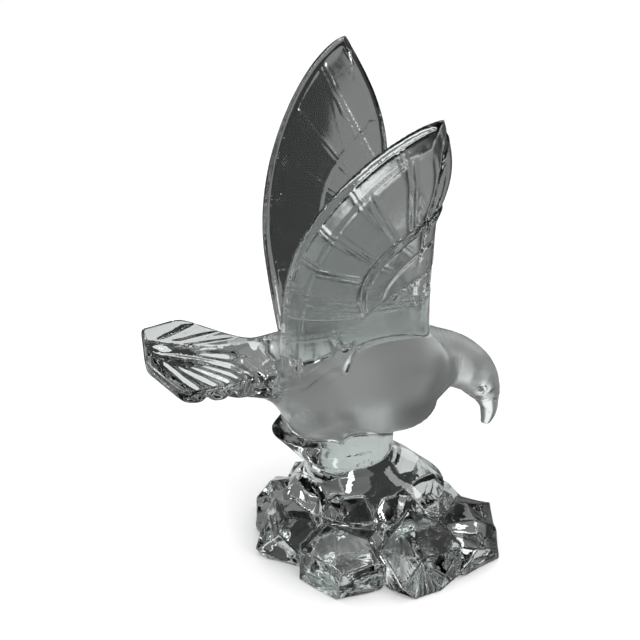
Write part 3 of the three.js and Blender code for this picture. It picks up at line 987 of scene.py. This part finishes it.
def surface_net(values):
    """Points in cells and faces of four points, from the values at the grid's corners."""
    inside = values < 0
    corners = [(i, j, k) for i in (0, 1) for j in (0, 1) for k in (0, 1)]
    count = np.zeros(np.array(values.shape) - 1, np.uint8)
    for i, j, k in corners:
        count += inside[i:i + count.shape[0], j:j + count.shape[1], k:k + count.shape[2]]
    cells = np.argwhere((count > 0) & (count < 8))
    number = np.full(count.shape, -1, np.int32)
    number[tuple(cells.T)] = np.arange(len(cells))
    at = {c: values[tuple((cells + c).T)].astype(float) for c in corners}
    total, hits = np.zeros((len(cells), 3)), np.zeros(len(cells))
    for c in corners:
        for axis in range(3):
            if c[axis]:
                continue
            other = tuple(v + (n == axis) for n, v in enumerate(c))
            crossed = (at[c] < 0) != (at[other] < 0)
            share = at[c][crossed] / (at[c][crossed] - at[other][crossed])
            point = np.tile(np.array(c, float), (crossed.sum(), 1))
            point[:, axis] += share
            total[crossed] += point
            hits[crossed] += 1
    points = cells + total / hits[:, None]
    faces = []
    for axis in range(3):
        b, c = (axis + 1) % 3, (axis + 2) % 3
        ahead = np.roll(inside, -1, axis)
        edges = np.argwhere(inside != ahead)
        edges = edges[(edges > 0).all(1)]
        steps = np.eye(3, dtype=int)
        ring = [edges, edges - steps[b], edges - steps[b] - steps[c], edges - steps[c]]
        quad = np.stack([number[tuple(r.T)] for r in ring], -1)
        leaving = inside[tuple(edges.T)]
        faces.append(np.where(leaving[:, None], quad, quad[:, ::-1]))
    return points, np.vstack(faces)


def largest_part(points, faces):
    """Leaves out closed voids between the lumps, which the glass fills."""
    label = np.arange(len(points))
    a = faces.ravel()
    b = np.roll(faces, 1, axis=1).ravel()
    while True:
        least = np.minimum(label[a], label[b])
        before = label.copy()
        np.minimum.at(label, a, least)
        np.minimum.at(label, b, least)
        label = label[label]
        if (label == before).all():
            break
    main = np.bincount(label).argmax()
    keep = label == main
    fresh = np.cumsum(keep) - 1
    return points[keep], fresh[faces[keep[faces[:, 0]]]]


def settle(place, turns):
    """Moves points onto the surface along the steepest way."""
    probe = np.array([(1, 1, 1), (1, -1, -1), (-1, 1, -1), (-1, -1, 1)], float) * PROBE
    for _ in range(turns):
        around = [casting(place + p) for p in probe]
        value = sum(around) / 4
        slope = sum(v[:, None] * p for v, p in zip(around, probe)) / (4 * PROBE**2)
        steep = np.maximum((slope**2).sum(1), LEAST_STEEP)
        move = -value[:, None] * slope / steep[:, None]
        long = np.linalg.norm(move, axis=1, keepdims=True)
        place = place + move * np.minimum(1, LONGEST_MOVE * CELL / np.maximum(long, 1e-9))
        place[:, 2] = np.maximum(place[:, 2], 0)
    return place


low, values = grid_of_casting()
points, faces = surface_net(values)
points, faces = largest_part(low + points * CELL, faces)
points = settle(points, 1)
print("surface net:", len(points), "points,", len(faces), "faces")

# %% [markdown]
# ## Fewer faces where it is flat
#
# A broad facet needs few faces and a feather line needs many. Decimate removes the points that matter
# least, until the mesh is below a set number of triangles, and the rest are settled on the surface again.

# %% Mesh of the casting
MOST_TRIANGLES = 196_000


def plain_mesh(name, place, loops):
    mesh = bpy.data.meshes.new(name)
    mesh.from_pydata((place * MM).tolist(), [], loops.tolist())
    return mesh


def evaluated(piece):
    """A plain mesh of an object with its modifiers applied."""
    graph = bpy.context.evaluated_depsgraph_get()
    return bpy.data.meshes.new_from_object(piece.evaluated_get(graph))


net = bpy.data.objects.new("net", plain_mesh("net", points, faces))
bpy.context.scene.collection.objects.link(net)
if 2 * len(faces) > MOST_TRIANGLES:
    thinner = net.modifiers.new("thinner", "DECIMATE")
    thinner.ratio = MOST_TRIANGLES / (2 * len(faces))
casting_mesh = evaluated(net)
bpy.data.objects.remove(net)
coords = np.empty(len(casting_mesh.vertices) * 3)
casting_mesh.vertices.foreach_get("co", coords)
coords = settle(coords.reshape(-1, 3) / MM, 1)
casting_mesh.vertices.foreach_set("co", (coords * MM).ravel())
casting_mesh.update()
print("casting:", len(casting_mesh.vertices), "points,", len(casting_mesh.polygons), "faces")

# %% [markdown]
# ## Satin and polish
#
# The breast, the shoulders, the head and the inner faces of the wings have a soft satin skin, the
# beak a little less, and the rest was fire polished. A number at each point of the mesh says how
# satin it is. It is worked out from the same forms, so its border follows them.

# %% Satin mask
SATIN_INNER = 0.42
SATIN_BEAK = 0.7
SATIN_BOX = ((-52, -40, 50), (64, 40, 126))
SATIN_FROM_TAIL = (-50, -42)
# Distances over which the satin ends: off the body's form, at the wings and at the flank feathers
OFF_BODY = (0.3, 0.9)
OFF_WING = (0.2, 1.2)
OFF_PAD = (-0.6, 0.6)
BEAK_FROM = (52, 54)
BEAK_TOP = (70, 73)
INNER_SIDE = (0.2, 1.2)
INNER_EDGE = (4, 6)
ON_WING = 0.4


def satin_at(place):
    """How satin the bird with its beak, and the inner faces of its wings, are at each place."""
    mirrored = np.stack([place[:, 0], np.abs(place[:, 1]), place[:, 2]], -1)
    chosen = np.flatnonzero(near(place, SATIN_BOX, 0))
    breast, wings = np.full(len(place), FAR), np.full(len(place), FAR)
    breast[chosen] = flank(mirrored[chosen])
    inner = np.zeros(len(place))
    for side in (1, -1):
        some = np.flatnonzero(near(place, on_side(side, WING_BOX), NEAR))
        wings[some] = np.minimum(wings[some], wing(place[some], side))
        x, down, across, _ = wing_plane(place[some], side)
        facing = fade(*INNER_SIDE, across) * fade(*INNER_EDGE, read_table(OUTLINES[side], x, down))
        inner[some] = np.maximum(inner[some], facing * (wings[some] < ON_WING))
    on_breast = (1 - fade(*OFF_BODY, np.abs(breast))) * fade(*OFF_WING, wings)
    on_breast = on_breast * fade(*OFF_PAD, pad_border(mirrored))
    on_beak = SATIN_BEAK * fade(*BEAK_FROM, place[:, 0]) * (1 - fade(*BEAK_TOP, place[:, 2]))
    return np.maximum(on_breast * fade(*SATIN_FROM_TAIL, place[:, 0]), on_beak), inner


breast, inner = satin_at(coords)
mask = casting_mesh.attributes.new("satin", "FLOAT", "POINT")
mask.data.foreach_set("value", np.maximum(breast, SATIN_INNER * inner))
print("satin share of the points:", round(float((breast > 0.5).mean()), 3))

# %% [markdown]
# ## Moulded ripple, with Geometry Nodes
#
# Pressed glass is never quite flat: as it cools, its skin draws into shallow waves a few tenths of a
# millimetre deep. A small Geometry Nodes tree moves each point along its normal by a noise with a
# fixed seed. The wave's height and length are named inputs, so they can be turned by hand.

# %% Ripple tree
RIPPLE = {"Wave height": 0.00025, "Waves per metre": 70.0, "Seed": 4.0}
NOISE_MIDDLE = 0.6


def ripple_tree(material):
    tree = bpy.data.node_groups.new("Moulded ripple", "GeometryNodeTree")
    tree.interface.new_socket("Geometry", in_out="INPUT", socket_type="NodeSocketGeometry")
    for number in RIPPLE:
        tree.interface.new_socket(number, in_out="INPUT", socket_type="NodeSocketFloat")
    tree.interface.new_socket("Geometry", in_out="OUTPUT", socket_type="NodeSocketGeometry")
    new, link = tree.nodes.new, tree.links.new
    given, made = new("NodeGroupInput"), new("NodeGroupOutput")
    noise = new("ShaderNodeTexNoise")
    noise.noise_dimensions = "4D"
    noise.inputs["Detail"].default_value = 1.0
    link(new("GeometryNodeInputPosition").outputs[0], noise.inputs["Vector"])
    link(given.outputs["Waves per metre"], noise.inputs["Scale"])
    link(given.outputs["Seed"], noise.inputs["W"])
    centred, tall = new("ShaderNodeMath"), new("ShaderNodeMath")
    centred.operation, tall.operation = "SUBTRACT", "MULTIPLY"
    centred.inputs[1].default_value = NOISE_MIDDLE
    link(noise.outputs[0], centred.inputs[0])
    link(centred.outputs[0], tall.inputs[0])
    link(given.outputs["Wave height"], tall.inputs[1])
    offset = new("ShaderNodeVectorMath")
    offset.operation = "SCALE"
    link(new("GeometryNodeInputNormal").outputs[0], offset.inputs[0])
    link(tall.outputs[0], offset.inputs["Scale"])
    moved = new("GeometryNodeSetPosition")
    link(given.outputs["Geometry"], moved.inputs["Geometry"])
    link(offset.outputs[0], moved.inputs["Offset"])
    real, dressed = new("GeometryNodeRealizeInstances"), new("GeometryNodeSetMaterial")
    dressed.inputs["Material"].default_value = material
    link(moved.outputs[0], real.inputs[0])
    link(real.outputs[0], dressed.inputs["Geometry"])
    link(dressed.outputs[0], made.inputs[0])
    return tree


print("ripple inputs:", ", ".join(RIPPLE))

# %% [markdown]
# ## Crystal
#
# Lead crystal bends light more than window glass, and it has almost no colour, only a trace of green
# where it is thick. Transmission, IOR and the tint are plain values on the shader. What changes
# over the surface is the roughness, from the satin number, and a fine bump of the mould's skin.

# %% Crystal material
TINT = (0.925, 0.975, 0.955, 1)
LEAD_CRYSTAL_IOR = 1.545
POLISHED = 0.015
SATIN = 0.42
SKIN_SCALE = 160
SKIN_DETAIL = 2
SKIN_BUMP = {"Strength": 0.25, "Distance": 0.0004}


def crystal():
    material = bpy.data.materials.new("clear crystal")
    material.use_nodes = True
    nodes, link = material.node_tree.nodes, material.node_tree.links.new
    glass = nodes["Principled BSDF"]
    glass.inputs["Base Color"].default_value = TINT
    glass.inputs["Transmission Weight"].default_value = 1.0
    glass.inputs["IOR"].default_value = LEAD_CRYSTAL_IOR
    satin = nodes.new("ShaderNodeAttribute")
    satin.attribute_name = "satin"
    rough = nodes.new("ShaderNodeMapRange")
    rough.inputs["To Min"].default_value = POLISHED
    rough.inputs["To Max"].default_value = SATIN
    link(satin.outputs["Fac"], rough.inputs["Value"])
    link(rough.outputs["Result"], glass.inputs["Roughness"])
    where = nodes.new("ShaderNodeTexCoord")
    skin = nodes.new("ShaderNodeTexNoise")
    skin.inputs["Scale"].default_value = SKIN_SCALE
    skin.inputs["Detail"].default_value = SKIN_DETAIL
    link(where.outputs["Object"], skin.inputs["Vector"])
    bump = nodes.new("ShaderNodeBump")
    for name, value in SKIN_BUMP.items():
        bump.inputs[name].default_value = value
    link(skin.outputs[0], bump.inputs["Height"])
    link(bump.outputs["Normal"], glass.inputs["Normal"])
    return material


material = crystal()
eagle = put("eagle", casting_mesh, material)
ripple = eagle.modifiers.new("ripple", "NODES")
ripple.node_group = ripple_tree(material)
for item in ripple.node_group.interface.items_tree:
    if item.name in RIPPLE and item.in_out == "INPUT":
        ripple[item.identifier] = RIPPLE[item.name]
finished = evaluated(eagle)
eagle.modifiers.clear()
eagle.data = finished
print("finished mesh:", len(finished.vertices), "points,", len(finished.polygons), "faces")

# %% [markdown]
# ## Handing it over
#
# The ripple may have pushed a point a hair outside the box, or off the flat underside, so both are
# set right. The last lines hide the CAD solid that this mesh stands for and say what it moves with.

# %% Finish
ON_UNDERSIDE = 1e-3
flat = np.empty(len(finished.vertices) * 3)
finished.vertices.foreach_get("co", flat)
flat = flat.reshape(-1, 3)
flat = np.clip(flat, np.array(CAD_BOX[0]), np.array(CAD_BOX[1]))
flat[coords[:, 2] < ON_UNDERSIDE, 2] = 0
finished.vertices.foreach_set("co", flat.ravel())
finished.polygons.foreach_set("use_smooth", np.ones(len(finished.polygons), bool))
finished.update()
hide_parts("crystal_eagle")
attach(eagle, "root")
